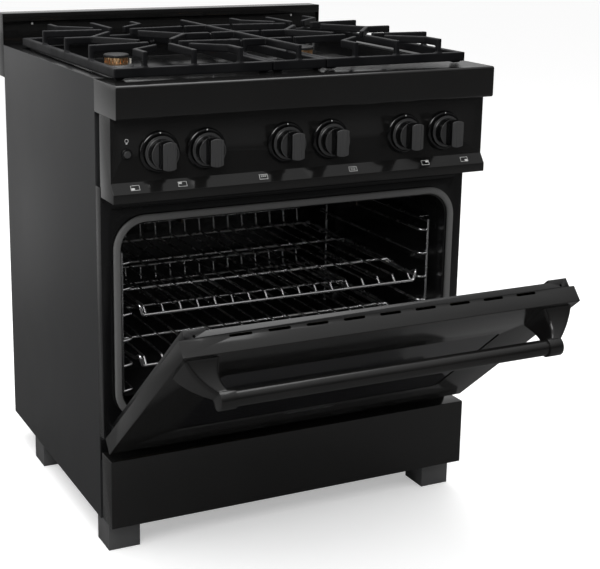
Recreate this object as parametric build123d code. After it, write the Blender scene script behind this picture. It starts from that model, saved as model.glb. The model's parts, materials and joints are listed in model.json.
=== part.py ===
from build123d import *
import math
import os

# Freestanding gas range, millimetres, +Z up, front towards -Y.
# Built about the body's front plane (Y = 0), then moved so the origin is the middle of the resting footprint.

# ---------------------------------------------------------------- overall
body_w = 759.0            # across the side panels
body_d = 585.0            # front edge of a side panel to its rear edge
cook_z = 882.0            # cooking surface deck above the floor
base_z = 55.0             # underside of the body above the floor
sheet = 1.5               # folded steel sheet
panel_turn = 14.0         # turned-in edges of the side panels
gap = 0.5                 # clearance between neighbouring fixed sheets
air = 0.35                # clearance of a lift-out piece over what carries it
fit = 0.05                # radial clearance of a turning fit

half = body_w / 2
inner_half = half - sheet

# ---------------------------------------------------------------- front box
fascia_y = -112.0         # front of the top fascia box
fascia_h = 58.0
fascia_r = 5.0
control_y = -81.0         # face of the control panel
lip_y = -94.0             # front of the lip under the controls
lip_top_z = 693.0
lip_bot_z = 677.0
slope_z = 711.0           # where the control face starts to slope out to the lip
frame_y = -25.0           # face of the oven's front frame
frame_t = 3.0
frame_bot_z = 222.0
fascia_bot_z = cook_z - fascia_h

# ---------------------------------------------------------------- controls
knob_x = [-290.5, -202.5, -45.0, 45.0, 202.5, 290.5]
knob_names = ["knob_front_left", "knob_rear_left", "knob_broil", "knob_oven", "knob_rear_right", "knob_front_right"]
knob_z = 760.5
knob_r = 30.0             # skirt of the knob
knob_body_r = 25.5
knob_skirt = 8.0
knob_len = 46.0
grip_w = 25.0
grip_h = 20.0             # the grip bar stands this far above the drum
bezel_r = 37.5
bezel_t = 7.0
bezel_clear = 1.5         # between the knob's skirt and its bezel
stem_r = 3.0
stem_reach = 26.0         # stem in front of the control face
panel_hole_r = 6.0
button_x = -350.0
button_r = 6.5
button_out = 6.0
button_travel = 2.5
button_ring_r = 9.5

# ---------------------------------------------------------------- backguard
guard_d = 52.0
guard_top_z = 947.5
guard_bot_z = 813.0
guard_band = 17.0
guard_recess = 12.0
guard_ledge_z = 915.0
guard_ledge = 5.0
guard_hole_x = 312.0
guard_hole_r = 3.0

# ---------------------------------------------------------------- oven
gasket_half = 358.0       # outer half width of the door seal
gasket_w = 13.5
gasket_t = 8.0
gasket_top_z = 639.0
gasket_bot_z = 249.0
gasket_r = 62.0
mouth_inset = 3.0         # the oven mouth lies this far inside the seal
cavity_back_y = 530.0
cavity_flange = 8.0
wall_blanket = 26.0
floor_rise = 24.0         # removable floor plate above the cavity's own floor
floor_t = 1.5

# ---------------------------------------------------------------- racks and ladders
level_low = 352.0
level_step = 49.0
level_first = -1          # lowest ladder level, counted from the low rack
level_count = 6
rack_levels = {"oven_rack_lower": 0, "oven_rack_upper": 2}
rack_half = 313.0
rod_r = 3.2
cross_r = 2.9
wire_r = 2.2
wire_count = 17
wire_span = 570.0
rack_front_y = 3.0
rack_rods_y = [140.0, 325.0]
rack_rear_y = 490.0
front_drop = 9.0
guard_rise = 36.0
ladder_wire_r = 2.8
ladder_rail_r = 2.5
ladder_x = 328.0
rail_x = 309.0
rail_dip = 3.0            # a rail falls this much at the front, so a sliding rack clears it
ladder_front_y = 12.0
ladder_rear_y = 432.0

# ---------------------------------------------------------------- door
door_half = 379.5
door_bot_z = 214.0
door_top_z = 670.0
door_y = -80.0            # outer face when closed
door_seal_gap = 0.5
tray_d = 30.0             # depth of the wide outer tray
box_inset = 10.5          # the inner box is this much narrower each side
box_bot_z = 238.0
window_half = 276.0
window_top_z = 560.0
window_bot_z = 300.0
window_r = 12.0
glass_t = 4.0
slot_count = 9
slot_pitch = 68.5
slot_len = 40.0
slot_w = 5.0
slot_depth_at = 27.0
corner_tab = 40.0
tab_step = 5.0
inner_window_half = 210.0
inner_window_h = 150.0
pivot_y = -56.0
pivot_z = 238.0
open_deg = 49.5           # how far the door stands open at rest
pin_r = 4.0
bracket_x = 360.0
bracket_t = 4.0
cheek_x = 350.5
cheek_t = 4.0
pocket_r = 13.0

# ---------------------------------------------------------------- handle
bar_r = 14.0
bar_half = 300.0
bar_z = 632.0             # when closed
bar_out = 62.0            # axis in front of the door face
boss_r = 17.0
bracket_root_w = 62.0
bracket_root_h = 74.0
bracket_root_x = 341.0
bracket_root_z = 618.0

# ---------------------------------------------------------------- cooktop
well_half = 338.0
well_front_y = 18.0
well_rear_y = 540.0
well_depth = 32.0
well_r = 25.0
burner_x = 207.0
burner_front_y = 104.0
burner_rear_y = 362.0
burners = {"front_left": (-1, 0, 33.0), "rear_left": (-1, 1, 24.0), "front_right": (1, 0, 39.0), "rear_right": (1, 1, 33.0)}
base_h = 9.0
seat = 0.2                # thickness of the seal under a burner base
head_h = 15.0
cap_h = 6.0
flute_count = 20

# ---------------------------------------------------------------- grates
grate_out = 358.0
grate_mid = 54.0
grate_gap = 2.0
grate_front_y = -45.0
grate_rear_y = 515.0
rail_w = 12.0
rail_h = 17.0
pad_h = 3.6
bar_w = 9.0
bar_h = 14.0
grate_top_z = 930.0
side_posts_y = [92.0, 234.0, 374.0]
end_posts_x = [118.0, 207.0, 300.0]

# ---------------------------------------------------------------- legs and kick panel
leg_x = 374.0
leg_w = 62.0
leg_front_y = -28.0
leg_rear_y = 385.0
leg_wall = 2.0
kick_y = -63.0
kick_back_y = -13.0
kick_bot_z = 60.0
kick_top_z = 192.0
plinth_y = -13.0

# ---------------------------------------------------------------- gas parts
manifold_r = 9.0
manifold_y = -38.0
valve_w = 22.0
inlet_x = 300.0
inlet_z = 690.0
pipe_r = 7.0
inlet_r = 10.5

# ---------------------------------------------------------------- mains inlet and rear fixings
gland_x = -300.0
gland_z = 120.0
gland_r = 11.0
gland_bore_r = 4.2
gland_out = 12.0
screw_r = 4.0             # head of a rear fixing
screw_shank_r = 1.8
screw_shank = 2.4         # ends short of the base pan's rear lip
screw_x = [-345.0, -115.0, 115.0, 345.0]
screw_z = [75.0, 300.0, 560.0, 800.0]


def block(x0, x1, y0, y1, z0, z1):
    # Box between two corners.
    return Pos((x0 + x1) / 2, (y0 + y1) / 2, (z0 + z1) / 2) * Box(x1 - x0, y1 - y0, z1 - z0)


def rod(a, b, r):
    # Round bar from a to b.
    a = Vector(*a)
    b = Vector(*b)
    plane = Plane(origin=a, z_dir=(b - a).normalized())
    return extrude(plane * Circle(r), amount=(b - a).length)


def wire(points, r, bend):
    # Bent round wire: straight runs joined by bends of one radius.
    path = FilletPolyline(*[tuple(p) for p in points], radius=bend)
    start = Vector(*points[0])
    plane = Plane(origin=start, z_dir=(Vector(*points[1]) - start).normalized())
    return sweep(plane * Circle(r), path=path)


def slab_xz(outline, y0, y1):
    # Closed outline in the XZ plane, extruded from y0 to y1.
    face = make_face(Polyline(*[(x, y0, z) for x, z in outline], close=True))
    return extrude(face, amount=y1 - y0, dir=(0, 1, 0))


def slab_yz(outline, x0, x1):
    # Closed outline in the YZ plane, extruded from x0 to x1.
    face = make_face(Polyline(*[(x0, y, z) for y, z in outline], close=True))
    return extrude(face, amount=x1 - x0, dir=(1, 0, 0))


def slab_xy(outline, z0, z1):
    # Closed outline in the XY plane, extruded from z0 to z1.
    face = make_face(Polyline(*[(x, y, z0) for x, y in outline], close=True))
    return extrude(face, amount=z1 - z0, dir=(0, 0, 1))


def round_slab(half_w, z0, z1, r, y0, y1):
    # Upright slab with rounded corners.
    face = Plane(origin=(0, y0, (z0 + z1) / 2), x_dir=(1, 0, 0), z_dir=(0, 1, 0)) * RectangleRounded(2 * half_w, z1 - z0, r)
    return extrude(face, amount=y1 - y0, dir=(0, 1, 0))


def turned(profile, x, y, z):
    # Solid of revolution about an axis towards the viewer, profile as (radius, distance out).
    face = make_face(Polyline(*[(r, 0, d) for r, d in profile], close=True))
    solid = revolve(face, Axis.Z, 360)
    return Pos(x, y, z) * Rot(90, 0, 0) * solid


def mirrored(shape):
    return mirror(shape, about=Plane.YZ)


nodes = {}

# ================================================================ body shell


def side_panel():
    # Left side: outer sheet with turned-in front, rear and bottom edges.
    turn = panel_turn
    x = -half
    shape = block(x, x + sheet, 0, body_d, base_z, cook_z)
    shape += block(x, x + turn, 0, sheet, base_z, cook_z - 30)
    shape += block(x, x + turn, body_d - 2 * sheet, body_d - sheet, base_z, cook_z - 30)
    shape += block(x, x + turn, 0, body_d - sheet, base_z, base_z + sheet)
    return shape


nodes["side_panel_left"] = side_panel()
nodes["side_panel_right"] = mirrored(nodes["side_panel_left"])

rear = block(-inner_half + gap, inner_half - gap, body_d - sheet, body_d, base_z, cook_z - 14)
for row in range(6):
    for col in range(-2, 3):
        rear -= block(col * 110 - 35, col * 110 + 35, body_d - 3, body_d + 3, 110 + 16 * row, 116 + 16 * row)
rear -= Pos(inlet_x, body_d, inlet_z) * Rot(90, 0, 0) * Cylinder(inlet_r + 4, 10)
rear -= Pos(gland_x, body_d, gland_z) * Rot(90, 0, 0) * Cylinder(gland_r - 3, 10)
screws = []
for x in screw_x:
    for z in screw_z:
        rear -= Pos(x, body_d, z) * Rot(90, 0, 0) * Cylinder(screw_shank_r + fit, 10)
        head = Pos(x, body_d + 1.0, z) * Rot(90, 0, 0) * Cylinder(screw_r, 2.0)
        head += Pos(x, body_d - screw_shank / 2, z) * Rot(90, 0, 0) * Cylinder(screw_shank_r, screw_shank)
        screws.append(head)
nodes["rear_panel"] = rear
nodes["rear_screws"] = Compound(children=screws)
gland = Pos(gland_x, body_d + gland_out / 2, gland_z) * Rot(90, 0, 0) * Cylinder(gland_r, gland_out)
gland += Pos(gland_x, body_d - 4, gland_z) * Rot(90, 0, 0) * Cylinder(gland_r - 3 - fit, 8)
gland -= Pos(gland_x, body_d, gland_z) * Rot(90, 0, 0) * Cylinder(gland_bore_r, 60)
nodes["cord_gland"] = gland

pan_half = inner_half - 14.5
pan = block(-pan_half, pan_half, 2, body_d - 4, base_z, base_z + sheet)
pan += block(-pan_half, pan_half, 2, 2 + sheet, base_z, base_z + 40)
pan += block(-pan_half, pan_half, body_d - 4 - sheet, body_d - 4, base_z, base_z + 30)
nodes["base_pan"] = pan

mouth_half = gasket_half - gasket_w - mouth_inset
mouth_top_z = gasket_top_z - gasket_w - mouth_inset
mouth_bot_z = gasket_bot_z + gasket_w + mouth_inset
mouth_r = gasket_r - gasket_w - mouth_inset

frame_back = frame_y + frame_t
frame = block(-half, half, frame_y, frame_back, frame_bot_z, lip_bot_z + 16)
for side in (-1, 1):
    wall = slab_yz([(frame_back, frame_bot_z + 1), (-gap, frame_bot_z - 3), (-gap, lip_bot_z + 16), (frame_back, lip_bot_z + 16)],
                   min(side * half, side * inner_half), max(side * half, side * inner_half))
    frame += wall
frame -= round_slab(mouth_half, mouth_bot_z, mouth_top_z, mouth_r, frame_y - 1, frame_back + 1)
for z in (662.0, 653.0):
    frame -= block(-gasket_half, gasket_half, frame_y - 1, frame_y + 1.4, z - 1.3, z + 1.3)
for side in (-1, 1):
    x0 = side * bracket_x
    x1 = side * (bracket_x + bracket_t)
    frame -= block(min(x0, x1) - gap, max(x0, x1) + gap, frame_y - 1, frame_back + 1, frame_bot_z + 3, pivot_z + 7)
nodes["front_frame"] = frame

# Front legs' rail closing the body between kick panel and front frame.
rail = block(-half + sheet + gap, half - sheet - gap, -1.5, 0 - gap, kick_top_z - 20, frame_bot_z - 4)
rail += block(-inner_half + gap, inner_half - gap, plinth_y, -1.5, frame_bot_z - 5.5, frame_bot_z - 4)
nodes["front_rail"] = rail

# ================================================================ fascia, controls, backguard

outer = block(-half, half, fascia_y, 0, fascia_bot_z, cook_z)
outer = fillet(outer.edges().filter_by(Axis.X).group_by(Axis.Y)[0], fascia_r)
inner = block(-half + sheet, half - sheet, fascia_y + sheet, 1, fascia_bot_z + sheet, cook_z - sheet)
inner = fillet(inner.edges().filter_by(Axis.X).group_by(Axis.Y)[0], fascia_r - sheet)
nodes["front_fascia"] = outer - inner

control_top_z = fascia_bot_z
profile_out = [(frame_y - 1, control_top_z), (control_y, control_top_z), (control_y, slope_z), (lip_y, lip_top_z),
               (lip_y, lip_bot_z), (frame_y - 4, lip_bot_z), (frame_y - 4, lip_bot_z + 18), (frame_y - 1, lip_bot_z + 18)]
control = slab_yz(profile_out, -half, half)
t = 2.0
profile_in = [(frame_y + 1, control_top_z - t), (control_y + t, control_top_z - t), (control_y + t, slope_z + 1),
              (lip_y + t, lip_top_z + 1), (lip_y + t, lip_bot_z + t), (frame_y - 5.5, lip_bot_z + t),
              (frame_y - 5.5, lip_bot_z + 18), (frame_y + 1, lip_bot_z + 18)]
control -= slab_yz(profile_in, -half + sheet, half - sheet)
for x in knob_x:
    control -= Pos(x, control_y, knob_z) * Rot(90, 0, 0) * Cylinder(panel_hole_r, 20)
control -= Pos(button_x, control_y, knob_z) * Rot(90, 0, 0) * Cylinder(button_r + 2, 20)
nodes["control_panel"] = control

bezels = []
for x in knob_x:
    ring = [(panel_hole_r, 0), (bezel_r, 0), (bezel_r, bezel_t - 4.5), (bezel_r - 1.5, bezel_t - 2), (bezel_r - 5, bezel_t),
            (knob_r + bezel_clear, bezel_t), (knob_r + bezel_clear, bezel_t - 3), (panel_hole_r, bezel_t - 3)]
    bezels.append(turned(ring, x, control_y, knob_z))
nodes["knob_bezels"] = Compound(children=bezels)

ring = [(button_r + 0.5, 0), (button_ring_r, 0), (button_ring_r, 2.0), (button_ring_r - 1, 3.0), (button_r + 0.5, 3.0)]
nodes["button_ring"] = turned(ring, button_x, control_y, knob_z)

guard_y0 = body_d + gap
guard_y1 = body_d + guard_d
guard = block(-half, half, guard_y0, guard_y1, guard_top_z - sheet, guard_top_z)
guard += block(-half, half, guard_y1 - sheet, guard_y1, guard_bot_z, guard_top_z)
for side in (-1, 1):
    x0 = side * half
    x1 = side * (half - sheet)
    guard += block(min(x0, x1), max(x0, x1), guard_y0, guard_y1, guard_bot_z, guard_top_z)
guard += block(-half, half, guard_y0, guard_y0 + sheet, guard_top_z - guard_band, guard_top_z)
guard += block(-half, half, guard_y0, guard_y0 + guard_recess, guard_top_z - guard_band, guard_top_z - guard_band + sheet)
guard += block(-half, half, guard_y0 + guard_recess - sheet, guard_y0 + guard_recess, guard_ledge_z, guard_top_z - guard_band + sheet)
guard += block(-half, half, guard_y0 + guard_recess - guard_ledge, guard_y0 + guard_recess, guard_ledge_z - sheet, guard_ledge_z)
guard += block(-half, half, guard_y0 + guard_recess - guard_ledge, guard_y0 + guard_recess - guard_ledge + sheet, cook_z - 10, guard_ledge_z)
for side in (-1, 1):
    hole = Pos(side * guard_hole_x, guard_y0 + guard_recess, guard_top_z - guard_band - 6) * Rot(90, 0, 0)
    guard -= hole * Cylinder(guard_hole_r, 6)
nodes["backguard"] = guard

# ================================================================ cooktop

deck_half = inner_half - gap
deck = block(-deck_half, deck_half, gap, body_d - gap, cook_z - sheet, cook_z)
deck += block(-deck_half, -deck_half + sheet, gap, body_d - 6, cook_z - 22, cook_z)
deck += block(deck_half - sheet, deck_half, gap, body_d - 6, cook_z - 22, cook_z)


def well(extra, z0, z1):
    plan = RectangleRounded(2 * (well_half + extra), well_rear_y - well_front_y + 2 * extra, well_r)
    return extrude(Pos(0, (well_front_y + well_rear_y) / 2, z0) * plan, amount=z1 - z0)


well_z = cook_z - well_depth
deck += well(sheet, well_z - sheet, cook_z - sheet)
deck -= well(0, well_z, cook_z + 1)
burner_at = {}
for name, (sx, row, r) in burners.items():
    by = burner_rear_y if row else burner_front_y
    burner_at[name] = (sx * burner_x, by, r)
    deck -= Pos(sx * burner_x, by, well_z) * Cylinder(r - 6, 10)
nodes["cooktop_deck"] = deck

bases = []
heads = []
caps = []
pins = []
for name, (bx, by, r) in burner_at.items():
    cup = Pos(bx, by, well_z + seat + (base_h - seat) / 2) * Cylinder(r + 11, base_h - seat)
    cup = chamfer(cup.edges().group_by(Axis.Z)[-1], 4)
    cup += Pos(bx, by, well_z - 17 + seat) * Cylinder(r - 7, 34)
    cup -= Pos(bx, by, well_z - 10) * Cylinder(r - 11, 60)
    bases.append(cup)
    head = Pos(bx, by, well_z + base_h + head_h / 2) * Cylinder(r, head_h)
    head -= Pos(bx, by, well_z + base_h + head_h / 2) * Cylinder(r - 8, head_h)
    for k in range(flute_count):
        cut = Rot(0, 0, 360 / flute_count * k) * Pos(r, 0, 0) * Box(8, 2.4, head_h - 6)
        head -= Pos(bx, by, well_z + base_h + head_h / 2 + 1) * cut
    heads.append(head)
    cap = Pos(bx, by, well_z + base_h + head_h + cap_h / 2) * Cylinder(r + 2, cap_h)
    caps.append(fillet(cap.edges().group_by(Axis.Z)[-1], 3))
    px = bx - math.copysign(r + 6.5, bx)
    pins.append(Pos(px, by, well_z + base_h + 5) * Cylinder(2.2, 10))
nodes["burner_bases"] = Compound(children=bases)
nodes["burner_heads"] = Compound(children=heads)
nodes["burner_caps"] = Compound(children=caps)
nodes["igniters"] = Compound(children=pins)

# ================================================================ grates


def top_bar(points):
    # Finger at cooking height following a plan path.
    shape = None
    for (x0, y0), (x1, y1) in zip(points, points[1:]):
        length = math.hypot(x1 - x0, y1 - y0)
        angle = math.degrees(math.atan2(y1 - y0, x1 - x0))
        seg = Pos((x0 + x1) / 2, (y0 + y1) / 2, grate_top_z - bar_h / 2) * Rot(0, 0, angle) * Box(length, bar_w, bar_h)
        seg = seg + Pos(x1, y1, grate_top_z - bar_h / 2) * Cylinder(bar_w / 2, bar_h)
        shape = seg if shape is None else shape + seg
    return shape


rail_bot_z = cook_z + air + pad_h
rail_top_z = rail_bot_z + rail_h


def post(x, y):
    return Pos(x, y, (rail_bot_z + grate_top_z) / 2) * Box(bar_w, bar_w, grate_top_z - rail_bot_z)


def rails(x0, x1):
    y0 = grate_front_y
    y1 = grate_rear_y
    shape = block(x0, x1, y0, y1, rail_bot_z, rail_top_z) - block(x0 + rail_w, x1 - rail_w, y0 + rail_w, y1 - rail_w, 0, 2000)
    for x in (x0 + 14, x1 - 14):
        for y in (y0 + 14, y1 - 8):
            shape += block(x - 8, x + 8, y - 6, y + 6, rail_bot_z - pad_h, rail_bot_z)
    return shape


def side_grate():
    # Right-hand grate over two burners.
    x0 = grate_mid + grate_gap
    x1 = grate_out
    shape = rails(x0, x1)
    inset = rail_w / 2
    reach = 34.0
    for y in side_posts_y:
        shape += post(x0 + inset, y) + post(x1 - inset, y)
    for x in end_posts_x:
        shape += post(x, grate_front_y + inset) + post(x, grate_rear_y - inset)
    for by, y in ((burner_front_y, side_posts_y[0]), (burner_rear_y, side_posts_y[2])):
        shape += top_bar([(x0 + inset, y), (burner_x - reach, by)])
        shape += top_bar([(x1 - inset, y), (burner_x + reach, by)])
    for sx, xr in ((-1, x0 + inset), (1, x1 - inset)):
        tip = burner_x + sx * 95
        shape += top_bar([(xr, side_posts_y[1]), (tip, side_posts_y[1])])
        for by in (burner_front_y, burner_rear_y):
            away = math.copysign(46, side_posts_y[1] - by)
            shape += top_bar([(tip, side_posts_y[1]), (burner_x + sx * 34, by + away)])
    for by, yr, sy in ((burner_front_y, grate_front_y + inset, 1), (burner_rear_y, grate_rear_y - inset, -1)):
        shape += top_bar([(end_posts_x[1], yr), (burner_x, by - sy * reach)])
        for x in (end_posts_x[0], end_posts_x[2]):
            side = math.copysign(1, x - burner_x)
            shape += top_bar([(x, yr), (x, yr + sy * 46), (burner_x + side * 36, by - sy * 46)])
    return shape


nodes["grate_right"] = side_grate()
nodes["grate_left"] = mirrored(nodes["grate_right"])

center = rails(-grate_mid, grate_mid)
y_front = grate_front_y + rail_w / 2
y_rear = grate_rear_y - rail_w / 2
center += post(0, y_front) + post(0, y_rear) + top_bar([(0, y_front), (0, y_rear)])
for y in side_posts_y:
    center += post(-grate_mid + rail_w / 2, y) + post(grate_mid - rail_w / 2, y)
    center += top_bar([(-grate_mid + rail_w / 2, y), (grate_mid - rail_w / 2, y)])
nodes["grate_center"] = center

# ================================================================ oven

mouth = round_slab(mouth_half, mouth_bot_z, mouth_top_z, mouth_r, frame_back, cavity_back_y)
liner = round_slab(mouth_half + sheet, mouth_bot_z - sheet, mouth_top_z + sheet, mouth_r + sheet, frame_back, cavity_back_y + sheet)
liner += round_slab(mouth_half + cavity_flange, mouth_bot_z - cavity_flange, mouth_top_z + cavity_flange,
                    mouth_r + cavity_flange, frame_back, frame_back + sheet)
liner -= mouth
lamp_x = 235.0
lamp_z = 580.0
lamp_r = 26.0
liner -= Pos(-lamp_x, cavity_back_y, lamp_z) * Rot(90, 0, 0) * Cylinder(lamp_r - 6, 10)
nodes["oven_cavity"] = liner

blanket_half = half - panel_turn - 1
blanket = round_slab(blanket_half, mouth_bot_z - sheet - 17.5, mouth_top_z + sheet + wall_blanket,
                     mouth_r + 10, frame_back + sheet + gap, cavity_back_y + sheet + wall_blanket)
blanket -= round_slab(mouth_half + sheet + gap, mouth_bot_z - sheet - gap, mouth_top_z + sheet + gap, mouth_r + sheet + gap,
                      frame_back, cavity_back_y + sheet + gap)
blanket -= Pos(-lamp_x, cavity_back_y + 20, lamp_z) * Rot(90, 0, 0) * Cylinder(lamp_r, 60)
nodes["oven_insulation"] = blanket

seal = round_slab(gasket_half, gasket_bot_z, gasket_top_z, gasket_r, frame_y - gasket_t, frame_y)
seal -= round_slab(gasket_half - gasket_w, gasket_bot_z + gasket_w, gasket_top_z - gasket_w, gasket_r - gasket_w,
                   frame_y - gasket_t - 1, frame_y + 1)
seal = fillet(seal.edges().group_by(Axis.Y)[0], 4.5)
nodes["door_gasket"] = seal

floor_z = mouth_bot_z + floor_rise
plate = block(-mouth_half + 14, mouth_half - 14, 4, cavity_back_y - 3, floor_z - floor_t, floor_z)
plate += block(-mouth_half + 46, mouth_half - 46, 4, 4 + sheet, mouth_bot_z + 1, floor_z)
plate += block(-mouth_half + 46, mouth_half - 46, cavity_back_y - 3 - sheet, cavity_back_y - 3, mouth_bot_z + 1, floor_z)
for i in range(-4, 5):
    for y in (40, cavity_back_y - 45):
        plate -= block(i * 60 - 20, i * 60 + 20, y - 4, y + 4, floor_z - 5, floor_z + 5)
nodes["oven_floor"] = plate

bake_z = mouth_bot_z + 11
bake = wire([(-90, cavity_back_y - 10, bake_z), (-90, 90, bake_z), (90, 90, bake_z), (90, cavity_back_y - 40, bake_z)], 8, 30)
nodes["bake_burner"] = bake

broil_z = mouth_top_z - 19.5
broil = block(-190, 190, 60, 450, mouth_top_z - 12, mouth_top_z - 10)
broil += block(-190, -188, 60, 450, mouth_top_z - 30, mouth_top_z - 10)
broil += block(188, 190, 60, 450, mouth_top_z - 30, mouth_top_z - 10)
for x in (-150, 150):
    for y in (90, 420):
        broil += Pos(x, y, mouth_top_z - 5.5) * Cylinder(5, 10)
broil += wire([(-120, 90, broil_z), (-120, 420, broil_z), (0, 420, broil_z), (0, 90, broil_z), (120, 90, broil_z),
               (120, 420, broil_z)], 6, 24)
for y in (150, 360):
    broil += block(-130, 130, y - 4, y + 4, broil_z + 3, mouth_top_z - 11)
nodes["broil_burner"] = broil

lamp = Pos(-lamp_x, cavity_back_y, lamp_z) * Rot(90, 0, 0)
lens = turned([(0, 0), (lamp_r, 0), (lamp_r, 4), (lamp_r - 6, 14), (lamp_r - 14, 18), (0, 19)], -lamp_x, cavity_back_y, lamp_z)
lens += Pos(-lamp_x, cavity_back_y + 12, lamp_z) * Rot(90, 0, 0) * Cylinder(lamp_r - 7, 26)
nodes["oven_lamp"] = lens


def ladder():
    # Right-hand wire ladder that carries the racks.
    shape = None
    low = level_low + level_first * level_step - 10
    high = level_low + (level_first + level_count - 1) * level_step + 14
    for y in (ladder_front_y, ladder_rear_y):
        upright = rod((ladder_x, y, low), (ladder_x, y, high), ladder_wire_r)
        shape = upright if shape is None else shape + upright
    for z in (low + 22, high - 4):
        shape += rod((ladder_x, ladder_front_y, z), (ladder_x, ladder_rear_y, z), ladder_rail_r)
        for y in (ladder_front_y + 40, ladder_rear_y - 40):
            shape += rod((ladder_x, y, z), (mouth_half, y, z), ladder_rail_r - 0.3)
    for i in range(level_count):
        z = level_low + (level_first + i) * level_step - cross_r - ladder_rail_r - air
        shape += wire([(ladder_x, ladder_front_y, z - rail_dip), (rail_x, ladder_front_y, z),
                       (rail_x, ladder_rear_y, z), (ladder_x, ladder_rear_y, z)], ladder_rail_r, 6)
    return shape


nodes["rack_ladder_right"] = ladder()
nodes["rack_ladder_left"] = mirrored(nodes["rack_ladder_right"])


def rack(level):
    # Chrome wire shelf with a dropped front bar and a raised rear guard.
    z = level_low + level * level_step
    front_z = z - front_drop
    rear_y = rack_rear_y
    shape = rod((-rack_half, rear_y, z), (rack_half, rear_y, z), cross_r)
    for y in rack_rods_y:
        shape += rod((-rack_half, y, z), (rack_half, y, z), cross_r)
    hook = rack_half - 21
    for side in (-1, 1):
        shape += rod((side * rack_half, rack_rods_y[0] - 12, z), (side * rack_half, rear_y + 6, z), rod_r)
    shape += wire([(-rack_half + 0.4, rack_rods_y[0] - 10, z), (-hook - 6, rack_front_y + 22, z), (-hook - 6, rack_front_y, z + 14),
                   (-hook, rack_front_y, front_z), (hook, rack_front_y, front_z), (hook + 6, rack_front_y, z + 14),
                   (hook + 6, rack_front_y + 22, z), (rack_half - 0.4, rack_rods_y[0] - 10, z)], cross_r + 0.1, 5)
    rise_y = rear_y + 10
    shape += rod((-wire_span / 2 - 8, rise_y, z + guard_rise), (wire_span / 2 + 8, rise_y, z + guard_rise), rod_r)
    wz = z + cross_r + wire_r - 0.6
    for i in range(wire_count):
        x = -wire_span / 2 + wire_span * i / (wire_count - 1)
        shape += wire([(x, rack_front_y, front_z), (x, rack_front_y + 13, wz), (x, rear_y + 5, wz),
                       (x, rise_y, z + guard_rise)], wire_r, 4)
    return shape


for name, level in rack_levels.items():
    nodes[name] = rack(level)

# ================================================================ door, drawn closed and then swung open

seal_face_y = frame_y - gasket_t
door_in_y = seal_face_y - door_seal_gap
tray_back_y = door_y + tray_d
box_half = door_half - box_inset


def window_cut(y0, y1, half_w, z0, z1, r):
    return round_slab(half_w, z0, z1, r, y0, y1)


def cheek_plate(side):
    # The tray and the inner box are slotted for this plate.
    x0 = side * cheek_x
    x1 = side * (cheek_x + cheek_t)
    return block(min(x0, x1), max(x0, x1), pivot_y - 12, pivot_y + 10, pivot_z - 14, pivot_z + 120)


def pockets():
    # Room for the fixed hinge brackets over the whole swing.
    shape = None
    for side in (-1, 1):
        x0 = side * (bracket_x - 2.0)
        x1 = side * (bracket_x + bracket_t + 2.0)
        cut = block(min(x0, x1), max(x0, x1), pivot_y - pocket_r, door_in_y + 20, door_bot_z - 5, pivot_z + pocket_r)
        shape = cut if shape is None else shape + cut
    return shape


tray = block(-door_half, door_half, door_y, tray_back_y, door_bot_z, door_top_z)
tray = fillet(tray.edges().group_by(Axis.Y)[0], 1.2)
tray -= block(-door_half + sheet, door_half - sheet, door_y + sheet, tray_back_y - sheet, door_bot_z + sheet, door_top_z - sheet)
tray -= block(-box_half + sheet, box_half - sheet, door_y + sheet, tray_back_y + 1, box_bot_z + sheet, door_top_z - sheet)
tray -= window_cut(door_y - 1, door_y + 3, window_half, window_bot_z, window_top_z, window_r)
for i in range(slot_count):
    x = (i - (slot_count - 1) / 2) * slot_pitch
    slot = Pos(x, door_y + slot_depth_at, door_top_z) * SlotOverall(slot_len, slot_w)
    tray -= extrude(slot, amount=6, both=True)
for side in (-1, 1):
    tray -= Pos(side * 352, door_y + 34, door_top_z) * Cylinder(2.5, 12)
tray -= pockets()
for side in (-1, 1):
    tray -= cheek_plate(side)

liner_top = door_top_z - 0.0
box = block(-box_half, box_half, tray_back_y, door_in_y, box_bot_z, liner_top)
box = chamfer(box.edges().filter_by(Axis.X).group_by(Axis.Y)[-1].group_by(Axis.Z)[0], 10)
box -= block(-box_half + sheet, box_half - sheet, tray_back_y - 1, door_in_y - sheet, box_bot_z + 12, liner_top - sheet)
box -= block(-box_half + corner_tab, box_half - corner_tab, door_in_y - tab_step, door_in_y + 1, liner_top - 14, liner_top + 1)
box += block(-box_half + corner_tab - sheet, box_half - corner_tab + sheet, door_in_y - tab_step - sheet, door_in_y - tab_step,
             liner_top - 15.5, liner_top)
box += block(-box_half + corner_tab - sheet, box_half - corner_tab + sheet, door_in_y - tab_step - sheet, door_in_y,
             liner_top - 15.5, liner_top - 14)
box_mid_z = (window_top_z + window_bot_z) / 2
box -= window_cut(door_in_y - 4, door_in_y + 1, inner_window_half, box_mid_z - inner_window_h / 2, box_mid_z + inner_window_h / 2, 20)
for i in range(slot_count):
    x = (i - (slot_count - 1) / 2) * slot_pitch
    slot = Pos(x, door_y + slot_depth_at, door_top_z) * SlotOverall(slot_len, slot_w)
    box -= extrude(slot, amount=6, both=True)
for side in (-1, 1):
    box -= Pos(side * 352, door_y + 34, door_top_z) * Cylinder(2.5, 12)
box -= pockets()
for side in (-1, 1):
    box -= cheek_plate(side)

outer_glass = round_slab(window_half + 14, window_bot_z - 14, window_top_z + 14, window_r, door_y + sheet, door_y + sheet + glass_t)
inner_glass = round_slab(inner_window_half + 12, box_mid_z - inner_window_h / 2 - 12, box_mid_z + inner_window_h / 2 + 12, 20,
                         door_in_y - sheet - glass_t, door_in_y - sheet)
core_y0 = door_y + sheet + glass_t + 1.0
core_y1 = door_in_y - sheet - glass_t - 1.0
core = block(-window_half - 50, window_half + 50, core_y0, core_y1, window_bot_z - 40, window_top_z + 40)
core -= block(-inner_window_half - 4, inner_window_half + 4, core_y0 - 1, core_y1 + 1, box_mid_z - inner_window_h / 2 - 4,
              box_mid_z + inner_window_h / 2 + 4)


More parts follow.
